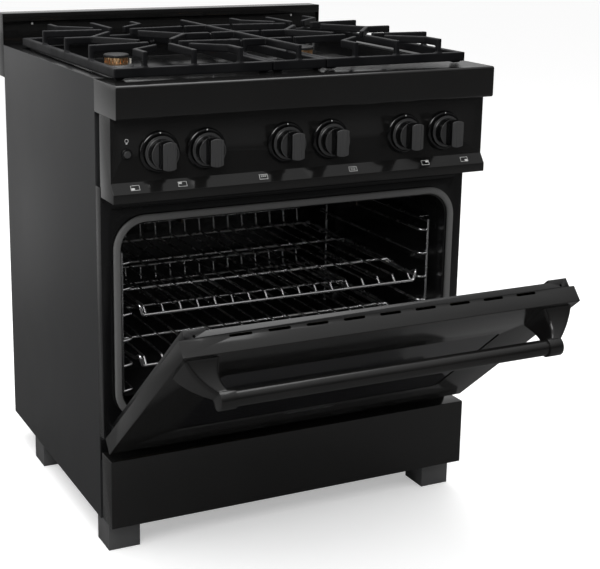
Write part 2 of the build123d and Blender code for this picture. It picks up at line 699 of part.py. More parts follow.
def cheek(side):
    # Door-side hinge plate, bored for the fixed pin.
    bore = Pos(side * (cheek_x + cheek_t / 2), pivot_y, pivot_z) * Rot(0, 90, 0) * Cylinder(pin_r + fit, 3 * cheek_t)
    return cheek_plate(side) - bore


def hinge_bracket(side):
    # Fixed plate reaching out of the front frame, with the pin the door turns on.
    x0 = min(side * bracket_x, side * (bracket_x + bracket_t))
    x1 = x0 + bracket_t
    low = frame_bot_z + 4
    high = pivot_z + 6
    arm = slab_yz([(20, low), (20, high), (pivot_y, high), (pivot_y - 6, pivot_z), (pivot_y, pivot_z - 7), (frame_y - 8, low)], x0, x1)
    inner_end = side * (cheek_x - 1.5)
    arm += block(min(side * bracket_x, side * (bracket_x + 14)), max(side * bracket_x, side * (bracket_x + 14)), frame_back + gap,
                 frame_back + gap + 2, low, high - 2)
    pin = rod((side * (bracket_x + bracket_t), pivot_y, pivot_z), (inner_end, pivot_y, pivot_z), pin_r)
    return arm + pin


nodes["hinge_brackets"] = Compound(children=[hinge_bracket(-1), hinge_bracket(1)])


def handle_bracket(side):
    # Wedge from a wide foot on the door to a round boss that holds the bar.
    root = Plane(origin=(side * bracket_root_x, door_y, bracket_root_z), x_dir=(1, 0, 0), z_dir=(0, -1, 0))
    foot = root * RectangleRounded(bracket_root_w, bracket_root_h, 6)
    mid = Plane(origin=(side * (bracket_root_x - 6), door_y - bar_out * 0.5, bracket_root_z + 4), x_dir=(1, 0, 0), z_dir=(0, -1, 0))
    waist = mid * RectangleRounded(bracket_root_w * 0.62, bracket_root_h * 0.68, 8)
    tip_plane = Plane(origin=(side * (bar_half + 13), door_y - bar_out + 4, bar_z), x_dir=(1, 0, 0), z_dir=(0, -1, 0))
    tip = tip_plane * RectangleRounded(26, boss_r * 1.75, 8)
    body = loft([foot, waist, tip])
    boss = rod((side * (bar_half - 1), door_y - bar_out, bar_z), (side * (bar_half + 27), door_y - bar_out, bar_z), boss_r)
    return body + boss


def bar():
    return rod((-bar_half + 1, door_y - bar_out, bar_z), (bar_half - 1, door_y - bar_out, bar_z), bar_r)


trim = block(-50, 50, door_y - 1.2, door_y, window_bot_z - 14, window_bot_z - 6)

door_nodes = {
    "door_outer_panel": tray,
    "door_inner_liner": box,
    "door_glass_outer": outer_glass,
    "door_glass_inner": inner_glass,
    "door_insulation": core,
    "door_hinge_cheeks": Compound(children=[cheek(-1), cheek(1)]),
    "handle_bar": bar(),
    "handle_bracket_left": handle_bracket(-1),
    "handle_bracket_right": handle_bracket(1),
    "door_trim_plate": trim,
}
pivot = Pos(0, pivot_y, pivot_z)
swing = pivot * Rot(open_deg, 0, 0) * pivot.inverse()
for name, shape in door_nodes.items():
    nodes[name] = swing * shape

# ================================================================ knobs and button


def knob(x):
    # Skirt and drum with a raised vertical grip bar across it, bored for the valve stem.
    stand = bezel_t - 3 + 1.0
    face = stand + knob_len
    ledge = face - grip_h
    drum = turned([(0, stand), (knob_r, stand), (knob_r, stand + knob_skirt - 2), (knob_r - 2, stand + knob_skirt),
                   (knob_body_r, stand + knob_skirt + 1), (knob_body_r, face - 2), (knob_body_r - 2, face), (0, face)],
                  x, control_y, knob_z)
    for side in (-1, 1):
        x0 = x + side * grip_w / 2
        x1 = x + side * 2 * knob_body_r
        drum -= block(min(x0, x1), max(x0, x1), control_y - face - 1, control_y - ledge, knob_z - knob_r, knob_z + knob_r)
    bore = Pos(x, control_y - stand - (stem_reach - stand) / 2, knob_z) * Rot(90, 0, 0) * Cylinder(stem_r + fit, stem_reach - stand + 1)
    return drum - bore


for name, x in zip(knob_names, knob_x):
    nodes[name] = knob(x)

press = turned([(0, -10), (button_r, -10), (button_r, button_out - 1), (button_r - 1, button_out), (0, button_out)],
               button_x, control_y, knob_z)
nodes["lamp_button"] = press

# ================================================================ gas train

valves = []
for x in knob_x:
    v = block(x - valve_w / 2, x + valve_w / 2, manifold_y - 22, manifold_y + 4, knob_z - 13, knob_z + 13)
    v += rod((x, manifold_y - 20, knob_z), (x, control_y - stem_reach, knob_z), stem_r)
    valves.append(v)
nodes["gas_valves"] = Compound(children=valves)
manifold_top = knob_z - 13
nodes["gas_manifold"] = rod((-330, manifold_y - 9, manifold_top - manifold_r), (335, manifold_y - 9, manifold_top - manifold_r), manifold_r)
feed_z = manifold_top - manifold_r
feed = wire([(335, manifold_y - 9, feed_z), (352, manifold_y - 9, feed_z), (352, 30, feed_z), (352, 30, feed_z + 60),
             (352, body_d - 34, feed_z + 60), (inlet_x, body_d - 34, feed_z + 60), (inlet_x, body_d - 34, inlet_z),
             (inlet_x, body_d + 34, inlet_z)], pipe_r, 12)
feed += rod((inlet_x, body_d + 12, inlet_z), (inlet_x, body_d + 40, inlet_z), inlet_r)
nodes["gas_feed_pipe"] = feed

# ================================================================ kick panel and legs

kick = block(-half, half, kick_y, kick_back_y, kick_bot_z, kick_top_z)
kick = fillet(kick.edges().filter_by(Axis.X).group_by(Axis.Y)[0], 1.5)
kick -= block(-half + sheet, half - sheet, kick_y + sheet, kick_back_y + 1, kick_bot_z + sheet, kick_top_z - sheet)
nodes["kick_panel"] = kick


def leg(x_side, y0):
    x0 = min(x_side * leg_x, x_side * (leg_x - leg_w))
    tube = block(x0, x0 + leg_w, y0, y0 + leg_w, 0, base_z - gap)
    return tube - block(x0 + leg_wall, x0 + leg_w - leg_wall, y0 + leg_wall, y0 + leg_w - leg_wall, leg_wall, base_z)


for side, sname in ((-1, "left"), (1, "right")):
    nodes["leg_front_" + sname] = leg(side, leg_front_y)
    nodes["leg_rear_" + sname] = leg(side, leg_rear_y)

# ================================================================ place and write

turn = math.radians(open_deg)
arm_y = door_y - bar_out - pivot_y
arm_z = bar_z - pivot_z
reach_y = pivot_y + arm_y * math.cos(turn) - arm_z * math.sin(turn) - boss_r
back_y = body_d + guard_d
shift = Pos(0, -(reach_y + back_y) / 2, 0)
os.makedirs("parts", exist_ok=True)
for name, shape in nodes.items():
    export_step(shift * shape, "parts/" + name + ".step")
print("nodes", len(nodes), "shift", round(-(reach_y + back_y) / 2, 4))
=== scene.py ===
"""Freestanding gas range: the finished pieces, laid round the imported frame.

Metres, +Z up, front towards -Y.
"""

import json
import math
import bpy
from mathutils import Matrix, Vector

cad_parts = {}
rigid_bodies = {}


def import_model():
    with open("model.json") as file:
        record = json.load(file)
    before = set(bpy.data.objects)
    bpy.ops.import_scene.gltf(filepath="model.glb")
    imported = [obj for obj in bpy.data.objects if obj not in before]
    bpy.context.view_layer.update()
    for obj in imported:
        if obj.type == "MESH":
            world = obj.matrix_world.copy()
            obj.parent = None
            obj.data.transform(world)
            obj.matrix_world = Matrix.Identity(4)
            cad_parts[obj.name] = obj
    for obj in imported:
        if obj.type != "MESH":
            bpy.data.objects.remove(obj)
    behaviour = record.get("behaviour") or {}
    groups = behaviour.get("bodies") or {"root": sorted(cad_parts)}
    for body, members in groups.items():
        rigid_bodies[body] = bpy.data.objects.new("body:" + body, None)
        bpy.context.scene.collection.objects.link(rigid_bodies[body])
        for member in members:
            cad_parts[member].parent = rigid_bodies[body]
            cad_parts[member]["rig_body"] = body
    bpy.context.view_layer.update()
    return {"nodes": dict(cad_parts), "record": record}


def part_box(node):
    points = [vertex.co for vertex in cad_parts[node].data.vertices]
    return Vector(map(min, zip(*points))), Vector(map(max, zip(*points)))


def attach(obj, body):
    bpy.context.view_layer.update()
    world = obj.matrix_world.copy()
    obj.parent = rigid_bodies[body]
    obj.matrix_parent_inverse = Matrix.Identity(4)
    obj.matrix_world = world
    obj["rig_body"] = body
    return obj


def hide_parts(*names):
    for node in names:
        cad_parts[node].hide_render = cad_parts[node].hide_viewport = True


bl_info = {
    "name": "Freestanding gas range",
    "version": (1, 0, 0),
    "blender": (4, 5, 0),
    "location": "3D View > Sidebar > Range",
    "description": "Builds the finished pieces of a gas range round its packed frame",
    "category": "Add Mesh",
}

import bmesh
import bpy
from bpy.props import FloatProperty, FloatVectorProperty, IntProperty, PointerProperty
from mathutils import Matrix, Vector

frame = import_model()

# each knob, the mark printed for it, and the side of the knob that the mark is on
CONTROLS = (
    ("knob_front_left", "front_left", -1),
    ("knob_rear_left", "rear_left", -1),
    ("knob_broil", "broil", -1),
    ("knob_oven", "oven", 1),
    ("knob_rear_right", "rear_right", 1),
    ("knob_front_right", "front_right", 1),
)
OUT = Matrix.Rotation(math.radians(90), 4, "X")      # turns +Z to -Y, out of the front
ALONG = Matrix.Rotation(math.radians(90), 4, "Y")    # turns +Z to +X, along the handle
TOUCHING = 1e-6                                      # points nearer than this are one point
PRINT_PROUD = 0.00012                                # how far printing stands off its sheet


# ------------------------------------------------------------------ settings


class RangeSizes(bpy.types.PropertyGroup):
    """Sizes that the finished pieces add to the frame's own."""

    sheet_edge: FloatProperty(
        name="Sheet edge", description="Rounding of a folded sheet edge", default=0.0011, unit="LENGTH")
    small_edge: FloatProperty(
        name="Small edge", description="Rounding of a small machined edge", default=0.0004, unit="LENGTH")
    bracket_edge: FloatProperty(
        name="Bracket edge", description="Rounding of the handle brackets", default=0.0012, unit="LENGTH")
    cast_grain: FloatProperty(
        name="Casting step", description="Finest step in the cast grates", default=0.0016, unit="LENGTH")
    cast_rounds: IntProperty(
        name="Casting softness", description="How often a casting's edges are eased", default=5)
    gasket_corner: FloatProperty(
        name="Seal corner", description="Outer corner radius of the door seal", default=0.062, unit="LENGTH")
    gasket_width: FloatProperty(
        name="Seal width", description="Width of the door seal", default=0.0135, unit="LENGTH")
    icon_width: FloatProperty(
        name="Mark width", description="Width of a printed burner mark", default=0.0165, unit="LENGTH")
    icon_offset: FloatProperty(
        name="Mark offset", description="How far a mark lies outboard of its knob", default=0.047,
        unit="LENGTH")


class RangeFinishes(bpy.types.PropertyGroup):
    """Colours that a user would change."""

    side_paint: FloatVectorProperty(
        name="Side paint", description="Baked paint of the side panels",
        size=3, subtype="COLOR", default=(0.0160, 0.0162, 0.0170), min=0, max=1)
    front_steel: FloatVectorProperty(
        name="Front steel", description="Black stainless of the front",
        size=3, subtype="COLOR", default=(0.006, 0.0059, 0.0058), min=0, max=1)
    enamel: FloatVectorProperty(
        name="Enamel", description="Oven and frame enamel",
        size=3, subtype="COLOR", default=(0.004, 0.004, 0.0042), min=0, max=1)
    iron: FloatVectorProperty(
        name="Iron", description="Cast iron of the grates",
        size=3, subtype="COLOR", default=(0.0034, 0.0035, 0.0043), min=0, max=1)
    brass: FloatVectorProperty(
        name="Brass", description="Burner heads",
        size=3, subtype="COLOR", default=(1.0, 0.68, 0.38), min=0, max=1)


# ------------------------------------------------------------------ shared shader effects


def new_group(name, inputs, outputs):
    """An empty shader group with its sockets: (name, kind, default)."""
    group = bpy.data.node_groups.new(name, "ShaderNodeTree")
    for title, kind, value in inputs:
        socket = group.interface.new_socket(title, in_out="INPUT", socket_type=kind)
        socket.default_value = value
    for title, kind in outputs:
        group.interface.new_socket(title, in_out="OUTPUT", socket_type=kind)
    return group, group.nodes.new("NodeGroupInput"), group.nodes.new("NodeGroupOutput")


def feed(tree, socket, value):
    """Gives a socket another node's output, an rgb colour or a plain number."""
    if isinstance(value, bpy.types.NodeSocket):
        tree.links.new(value, socket)
    elif isinstance(value, tuple):
        socket.default_value = (*value, 1.0)
    else:
        socket.default_value = value


def ranged(tree, value, low, high, start=0.0, end=1.0):
    """Value from start..end mapped to low..high; low and high are numbers or sockets."""
    node = tree.nodes.new("ShaderNodeMapRange")
    node.inputs["From Min"].default_value = start
    node.inputs["From Max"].default_value = end
    for key, given in (("Value", value), ("To Min", low), ("To Max", high)):
        feed(tree, node.inputs[key], given)
    return node.outputs["Result"]


def combined(tree, operation, first, second):
    """Two values added or multiplied."""
    node = tree.nodes.new("ShaderNodeMath")
    node.operation = operation
    feed(tree, node.inputs[0], first)
    feed(tree, node.inputs[1], second)
    return node.outputs[0]


def noise(tree, scale, detail, vector):
    """Cloudy value over the surface."""
    node = tree.nodes.new("ShaderNodeTexNoise")
    node.inputs["Detail"].default_value = detail
    feed(tree, node.inputs["Scale"], scale)
    feed(tree, node.inputs["Vector"], vector)
    return node.outputs["Fac"]


def blended(tree, share, first, second):
    """Mix of two colours, each a socket or rgb; the node has an A and a B for each kind of data."""
    node = tree.nodes.new("ShaderNodeMix")
    node.data_type = "RGBA"
    for name, kind, value in (("Factor", "VALUE", share), ("A", "RGBA", first), ("B", "RGBA", second)):
        socket = next(s for s in node.inputs if s.name == name and s.type == kind)
        feed(tree, socket, value)
    return next(s for s in node.outputs if s.type == "RGBA")


def own_place(tree):
    """The piece's own coordinates."""
    return tree.nodes.new("ShaderNodeTexCoord").outputs["Object"]


def brushed_grain():
    """Long fine scratches: height and roughness, stretched along one direction."""
    group, given, out = new_group(
        "Brushed grain",
        [("Stretch", "NodeSocketVector", (8, 700, 700)), ("Smooth", "NodeSocketFloat", 0.25),
         ("Rough", "NodeSocketFloat", 0.4)],
        [("Height", "NodeSocketFloat"), ("Roughness", "NodeSocketFloat")])
    stretched = group.nodes.new("ShaderNodeVectorMath")
    stretched.operation = "MULTIPLY"
    group.links.new(own_place(group), stretched.inputs[0])
    group.links.new(given.outputs["Stretch"], stretched.inputs[1])
    lines = noise(group, 1.0, 4.0, stretched.outputs[0])
    rough = ranged(group, lines, given.outputs["Smooth"], given.outputs["Rough"], start=0.3, end=0.7)
    group.links.new(lines, out.inputs["Height"])
    group.links.new(rough, out.inputs["Roughness"])
    return group


def handling_marks():
    """Broad faint patches where a surface was wiped or touched."""
    group, given, out = new_group(
        "Handling marks",
        [("Size", "NodeSocketFloat", 5.0), ("Colour", "NodeSocketColor", (0.02, 0.02, 0.02, 1)),
         ("Patch colour", "NodeSocketColor", (0.03, 0.03, 0.03, 1)), ("Strength", "NodeSocketFloat", 0.5)],
        [("Colour", "NodeSocketColor"), ("Mask", "NodeSocketFloat")])
    broad = noise(group, given.outputs["Size"], 5.0, own_place(group))
    mask = ranged(group, broad, 0.0, given.outputs["Strength"], start=0.42, end=0.72)
    colour = blended(group, mask, given.outputs["Colour"], given.outputs["Patch colour"])
    group.links.new(mask, out.inputs["Mask"])
    group.links.new(colour, out.inputs["Colour"])
    return group


def fine_texture():
    """Pebbled micro relief of baked paint or a sand casting."""
    group, given, out = new_group(
        "Fine texture", [("Size", "NodeSocketFloat", 900.0), ("Coarse share", "NodeSocketFloat", 0.3)],
        [("Height", "NodeSocketFloat")])
    place = own_place(group)
    fine = noise(group, given.outputs["Size"], 3.0, place)
    coarse_size = combined(group, "MULTIPLY", given.outputs["Size"], 0.16)
    coarse = noise(group, coarse_size, 2.0, place)
    weighted = combined(group, "MULTIPLY", coarse, given.outputs["Coarse share"])
    group.links.new(combined(group, "ADD", fine, weighted), out.inputs["Height"])
    return group


def worn_edges():
    """Mask of outward edges, broken up by noise."""
    group, given, out = new_group(
        "Worn edges", [("Reach", "NodeSocketFloat", 0.0015), ("Strength", "NodeSocketFloat", 1.0)],
        [("Mask", "NodeSocketFloat")])
    shape = group.nodes.new("ShaderNodeNewGeometry")
    rounded = group.nodes.new("ShaderNodeBevel")
    rounded.samples = 4
    group.links.new(given.outputs["Reach"], rounded.inputs["Radius"])
    facing = group.nodes.new("ShaderNodeVectorMath")
    facing.operation = "DOT_PRODUCT"
    group.links.new(rounded.outputs[0], facing.inputs[0])
    group.links.new(shape.outputs["Normal"], facing.inputs[1])
    edge = ranged(group, facing.outputs["Value"], 1.0, 0.0, start=0.80, end=0.985)
    broken = ranged(group, noise(group, 60.0, 4.0, own_place(group)), 0.1, 1.0, start=0.4, end=0.65)
    partly = combined(group, "MULTIPLY", edge, broken)
    group.links.new(combined(group, "MULTIPLY", partly, given.outputs["Strength"]), out.inputs["Mask"])
    return group


def settled_dust():
    """Mask of upward faces, patchy."""
    group, given, out = new_group(
        "Settled dust", [("Amount", "NodeSocketFloat", 0.2)], [("Mask", "NodeSocketFloat")])
    shape = group.nodes.new("ShaderNodeNewGeometry")
    parts = group.nodes.new("ShaderNodeSeparateXYZ")
    group.links.new(shape.outputs["Normal"], parts.inputs[0])
    up = ranged(group, parts.outputs["Z"], 0.0, 1.0, start=0.5, end=1.0)
    patch = ranged(group, noise(group, 22.0, 6.0, own_place(group)), 0.25, 1.0, start=0.35, end=0.7)
    both = combined(group, "MULTIPLY", up, patch)
    group.links.new(combined(group, "MULTIPLY", both, given.outputs["Amount"]), out.inputs["Mask"])
    return group


GROUPS = {}


def effect(tree, name, **values):
    """Places a shared effect in a material, with its own values."""
    node = tree.nodes.new("ShaderNodeGroup")
    node.node_tree = GROUPS[name]
    for key, value in values.items():
        node.inputs[key.replace("_", " ").capitalize()].default_value = value
    return node


# ------------------------------------------------------------------ materials


def grey(level):
    return (level, level, level)


def scaled(colour, share):
    """A colour made lighter or darker."""
    return tuple(value * share for value in colour)


def start_material(name, base, metallic=0.0, rough=0.5, specular=0.5):
    """A material with its Principled shader's plain values."""
    material = bpy.data.materials.new(name)
    material.use_nodes = True
    shader = material.node_tree.nodes["Principled BSDF"]
    shader.inputs["Base Color"].default_value = (*base, 1.0)
    shader.inputs["Metallic"].default_value = metallic
    shader.inputs["Roughness"].default_value = rough
    shader.inputs["Specular IOR Level"].default_value = specular
    return material, material.node_tree, shader


def marked(tree, base, patch, size, strength):
    """Handling marks that turn a base colour into a patch colour."""
    return effect(tree, "marks", size=size, colour=(*base, 1), patch_colour=(*patch, 1), strength=strength)


def marks_to_roughness(tree, shader, marks, low, high):
    tree.links.new(ranged(tree, marks.outputs["Mask"], low, high), shader.inputs["Roughness"])


def add_bump(tree, shader, height, depth):
    """Relief of a given depth from a height."""
    bump = tree.nodes.new("ShaderNodeBump")
    bump.inputs["Distance"].default_value = depth
    bump.inputs["Strength"].default_value = 1.0
    tree.links.new(height, bump.inputs["Height"])
    tree.links.new(bump.outputs[0], shader.inputs["Normal"])


def painted(name, base, patch, rough, spread, grain=900.0, depth=0.00004, edge=None):
    """Paint or enamel: fine relief, faint patches and, with an edge colour, wear on outward edges."""
    material, tree, shader = start_material(name, base, rough=rough)
    marks = marked(tree, base, patch, size=4.0, strength=0.7)
    colour = marks.outputs["Colour"]
    if edge:
        wear = effect(tree, "edges", reach=0.0012, strength=0.55)
        colour = blended(tree, wear.outputs["Mask"], colour, edge)
    tree.links.new(colour, shader.inputs["Base Color"])
    marks_to_roughness(tree, shader, marks, rough, rough + spread)
    texture = effect(tree, "texture", size=grain)
    add_bump(tree, shader, texture.outputs["Height"], depth)
    return material


def brushed(name, base, patch, stretch, smooth, rough, metallic=0.0, depth=0.00002):
    """Brushed sheet: fine parallel scratches that also vary its roughness."""
    material, tree, shader = start_material(name, base, metallic, rough)
    grain = effect(tree, "grain", stretch=stretch, smooth=smooth, rough=rough)
    tree.links.new(grain.outputs["Roughness"], shader.inputs["Roughness"])
    marks = marked(tree, base, patch, size=6.0, strength=0.8)
    tree.links.new(marks.outputs["Colour"], shader.inputs["Base Color"])
    add_bump(tree, shader, grain.outputs["Height"], depth)
    return material


def cast_iron(base):
    """Rough casting with paler worn edges and paler patches on its upward faces."""
    red, green, blue = base
    material, tree, shader = start_material("cast_iron", base, rough=0.55, specular=0.22)
    marks = marked(tree, base, (red * 1.6, green * 1.6, blue * 1.5), size=14.0, strength=0.8)
    wear = effect(tree, "edges", reach=0.0022, strength=0.5)
    colour = blended(tree, wear.outputs["Mask"], marks.outputs["Colour"], (0.05, 0.05, 0.056))
    # a paler colour mixed in on upward faces, in patches
    dust = effect(tree, "dust", amount=0.22)
    dusty = blended(tree, dust.outputs["Mask"], colour, (0.055, 0.055, 0.06))
    tree.links.new(dusty, shader.inputs["Base Color"])
    marks_to_roughness(tree, shader, marks, 0.45, 0.68)
    texture = effect(tree, "texture", size=620.0, coarse_share=0.8)
    add_bump(tree, shader, texture.outputs["Height"], depth=0.00022)
    return material


def brass(base):
    """Turned brass, browned in patches by heat."""
    material, tree, shader = start_material("burner_brass", base, metallic=1.0, rough=0.3)
    marks = marked(tree, base, (0.52, 0.27, 0.13), size=60.0, strength=0.9)
    tree.links.new(marks.outputs["Colour"], shader.inputs["Base Color"])
    marks_to_roughness(tree, shader, marks, 0.34, 0.5)
    grain = effect(tree, "grain", stretch=(300, 300, 3000), smooth=0.2, rough=0.3)
    add_bump(tree, shader, grain.outputs["Height"], depth=0.00003)
    return material


def chrome():
    """Plated wire, a little dulled."""
    bright = (0.9, 0.9, 0.91)
    material, tree, shader = start_material("chrome_wire", bright, metallic=1.0, rough=0.25)
    marks = marked(tree, bright, (0.62, 0.61, 0.6), size=24.0, strength=0.8)
    tree.links.new(marks.outputs["Colour"], shader.inputs["Base Color"])
    marks_to_roughness(tree, shader, marks, 0.24, 0.36)
    texture = effect(tree, "texture", size=260.0)
    add_bump(tree, shader, texture.outputs["Height"], depth=0.00002)
    return material


def glass(name, tint, clearness, rough):
    """Glass with faint smears; a clearness of 0 is dark and solid."""
    material, tree, shader = start_material(name, tint, rough=rough)
    shader.inputs["Transmission Weight"].default_value = clearness
    shader.inputs["IOR"].default_value = 1.5
    marks = effect(tree, "marks", size=7.0, strength=1.0)
    marks_to_roughness(tree, shader, marks, rough, rough + 0.05)
    return material


def wool():
    """Loose mineral fibres."""
    material, tree, shader = start_material("mineral_wool", (0.48, 0.40, 0.20), rough=0.95, specular=0.1)
    shader.inputs["Sheen Weight"].default_value = 0.3
    marks = marked(tree, (0.50, 0.42, 0.22), (0.33, 0.27, 0.13), size=30.0, strength=1.0)
    tree.links.new(marks.outputs["Colour"], shader.inputs["Base Color"])
    grain = effect(tree, "grain", stretch=(60, 240, 900), smooth=0.9, rough=1.0)
    add_bump(tree, shader, grain.outputs["Height"], depth=0.0012)
    return material


def build_materials(finishes):
    """Every finish, keyed by the slot it belongs to."""
    for old in list(bpy.data.materials):
        old.name = "packed_" + old.name
    GROUPS.update(grain=brushed_grain(), marks=handling_marks(), texture=fine_texture(), edges=worn_edges(),
                  dust=settled_dust())
    side = tuple(finishes.side_paint)
    steel = tuple(finishes.front_steel)
    enamel = tuple(finishes.enamel)
    made = [
        painted("side_paint", side, scaled(side, 1.1), rough=0.42, spread=0.08, grain=1100.0, depth=0.00005),
        brushed("black_stainless", steel, scaled(steel, 1.2), (5, 1500, 1500), smooth=0.11, rough=0.16,
                depth=0.000001),
        painted("dark_enamel", enamel, scaled(enamel, 1.5), rough=0.22, spread=0.12, grain=500.0,
                depth=0.00003),
        painted("oven_enamel", enamel, scaled(enamel, 2.0), rough=0.24, spread=0.16, grain=340.0,
                depth=0.00006),
        cast_iron(tuple(finishes.iron)),
        chrome(),
        brass(tuple(finishes.brass)),
        painted("burner_cap", (0.012, 0.012, 0.0125), grey(0.02), rough=0.42, spread=0.14, grain=700.0,
                depth=0.00005, edge=grey(0.05)),
        brushed("burner_base", (0.09, 0.09, 0.092), grey(0.05), (400, 400, 400), smooth=0.4, rough=0.6,
                metallic=0.6, depth=0.00008),
        painted("igniter_ceramic", (0.72, 0.70, 0.64), (0.6, 0.57, 0.5), rough=0.2, spread=0.15, grain=400.0,
                depth=0.00002),
        glass("smoked_glass", (0.0025, 0.0025, 0.003), clearness=0.0, rough=0.03),
        glass("clear_glass", (0.02, 0.02, 0.022), clearness=0.5, rough=0.03),
        glass("lamp_glass", (0.85, 0.84, 0.78), clearness=0.7, rough=0.08),
        painted("seal_rubber", (0.095, 0.095, 0.094), grey(0.08), rough=0.55, spread=0.12, grain=800.0,
                depth=0.00006),
        painted("gland_plastic", grey(0.014), grey(0.02), rough=0.45, spread=0.12, depth=0.00003),
        wool(),
        brushed("knob_black", (0.030, 0.030, 0.0305), grey(0.036), (900, 900, 14), smooth=0.24, rough=0.38,
                depth=0.000014),
        painted("bezel_black", (0.003, 0.003, 0.0032), grey(0.005), rough=0.06, spread=0.05, grain=200.0,
                depth=0.000004),
        brushed("handle_black", (0.005, 0.0049, 0.0048), (0.008, 0.0077, 0.0075), (8, 900, 900), smooth=0.14,
                rough=0.26, depth=0.000003),
        brushed("trim_steel", grey(0.035), grey(0.035), (8, 900, 900), smooth=0.2, rough=0.35, metallic=0.4),
        brushed("zinc_steel", (0.34, 0.35, 0.36), (0.26, 0.27, 0.28), (20, 500, 500), smooth=0.28,
                rough=0.45, metallic=1.0, depth=0.00003),
        brushed("burner_steel", (0.17, 0.15, 0.13), (0.12, 0.09, 0.08), (20, 500, 500), smooth=0.3, rough=0.5,
                metallic=1.0, depth=0.00003),
        brushed("valve_brass", (0.62, 0.42, 0.18), (0.5, 0.33, 0.14), (300, 300, 2000), smooth=0.25,
                rough=0.4, metallic=1.0),
        painted("leg_grey", (0.058, 0.058, 0.059), (0.064, 0.064, 0.065), rough=0.42, spread=0.08,
                grain=1100.0, depth=0.00005),
        painted("print_white", (0.62, 0.62, 0.61), grey(0.5), rough=0.5, spread=0.1, depth=0.00001),
    ]
    return {material.name: material for material in made}


MATERIALS = {}
SLOT_OF = {part["node"]: part["material_slot"] for part in frame["record"]["subparts"]}


# ------------------------------------------------------------------ making pieces


def sizes():
    return bpy.context.scene.range_sizes


def link(name, mesh):
    """A new object in the scene for a mesh."""
    piece = bpy.data.objects.new(name, mesh)
    bpy.context.scene.collection.objects.link(piece)
    return piece


def smooth_by_angle(mesh, degrees):
    """Smooth shading, broken at edges sharper than the angle."""
    for polygon in mesh.polygons:
        polygon.use_smooth = True
    mesh.set_sharp_from_angle(angle=math.radians(degrees))


def finish_piece(piece, node, slot=None, replaced=(), degrees=35.0):
    """Gives a piece its smoothing, finish and body, and hides the CAD nodes it stands for."""
    slot = slot or SLOT_OF[node]
    smooth_by_angle(piece.data, degrees)
    piece.data.materials.clear()
    piece.data.materials.append(MATERIALS[slot])
    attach(piece, frame["nodes"][node]["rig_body"])
    if replaced:
        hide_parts(*replaced)
    return piece


def from_bmesh(name, bm):
    """A new piece from a finished bmesh, its faces turned outwards."""
    mesh = bpy.data.meshes.new(name)
    bmesh.ops.recalc_face_normals(bm, faces=bm.faces)
    bm.to_mesh(mesh)
    bm.free()
    return link(name, mesh)


def applied(piece, *modifiers):
    """Adds modifiers given as (kind, settings) and makes their result the piece's mesh."""
    for kind, settings in modifiers:
        modifier = piece.modifiers.new(kind.lower(), kind)
        for key, value in settings.items():
            setattr(modifier, key, value)
    bpy.context.view_layer.update()
    depsgraph = bpy.context.evaluated_depsgraph_get()
    finished = bpy.data.meshes.new_from_object(piece.evaluated_get(depsgraph))
    piece.modifiers.clear()
    old = piece.data
    piece.data = finished
    finished.name = piece.name
    bpy.data.meshes.remove(old)


def clean_copy(node, suffix="_finished"):
    """A copy of a CAD node's mesh with its flat faces merged."""
    bm = bmesh.new()
    bm.from_mesh(frame["nodes"][node].data)
    bmesh.ops.remove_doubles(bm, verts=bm.verts, dist=2 * TOUCHING)
    bmesh.ops.dissolve_limit(bm, angle_limit=math.radians(0.6), verts=bm.verts, edges=bm.edges)
    return from_bmesh(node + suffix, bm)


def softened(node, width, segments=2):
    """The node with its sharp edges rounded, in place of the CAD one."""
    piece = clean_copy(node)
    applied(piece, ("BEVEL", {"width": width, "segments": segments, "limit_method": "ANGLE",
                              "angle_limit": math.radians(34), "use_clamp_overlap": True,
                              "harden_normals": False, "miter_outer": "MITER_ARC"}))
    finish_piece(piece, node, replaced=(node,), degrees=40.0)


def kept(node):
    """Leaves a CAD node in place and gives it its finish."""
    obj = frame["nodes"][node]
    material = MATERIALS[SLOT_OF[node]]
    if not obj.data.materials:
        obj.data.materials.append(material)
    for index in range(len(obj.data.materials)):
        obj.data.materials[index] = material


def middle(node):
    """Centre of a node's box."""
    low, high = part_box(node)
    return (low + high) / 2


def bridged(bm, first, second):
    """Band of faces between two closed rings of as many points."""
    count = len(first)
    for i in range(count):
        after = (i + 1) % count
        bm.faces.new((first[i], first[after], second[after], second[i]))


def lathed(bm, profile, centre, turn, steps):
    """Turns a profile of (radius, height) round an axis; a point on the axis closes the end."""
    rings = []
    for radius, height in profile:
        ring = []
        for step in range(steps if radius else 1):
            angle = 2 * math.pi * step / steps
            point = Vector((radius * math.cos(angle), radius * math.sin(angle), height))
            ring.append(bm.verts.new(Vector(centre) + turn @ point))
        rings.append(ring)
    for low, high in zip(rings, rings[1:]):
        for step in range(steps):
            after = (step + 1) % steps
            if len(low) == 1 and len(high) > 1:
                bm.faces.new((low[0], high[step], high[after]))
            elif len(high) == 1 and len(low) > 1:
                bm.faces.new((low[step], high[0], low[after]))
            elif len(low) > 1:
                bm.faces.new((low[step], high[step], high[after], low[after]))


def rounded_corner(centre_r, centre_h, radius, steps=5):
    """Points of a profile's rounded corner, from its outer side to its top."""
    points = []
    for step in range(steps + 1):
        angle = math.radians(90 * step / steps)
        points.append((centre_r + radius * math.cos(angle), centre_h + radius * math.sin(angle)))
    return points


def extruded(bm, outline, lift, turn, centre):
    """Closed outline of (x, y) drawn between two heights, both ends capped."""
    low, high = ([bm.verts.new(Vector(centre) + turn @ Vector((x, y, height))) for x, y in outline]
                 for height in lift)
    bm.faces.new(low)
    bm.faces.new(high)
    bridged(bm, low, high)


# ------------------------------------------------------------------ operators


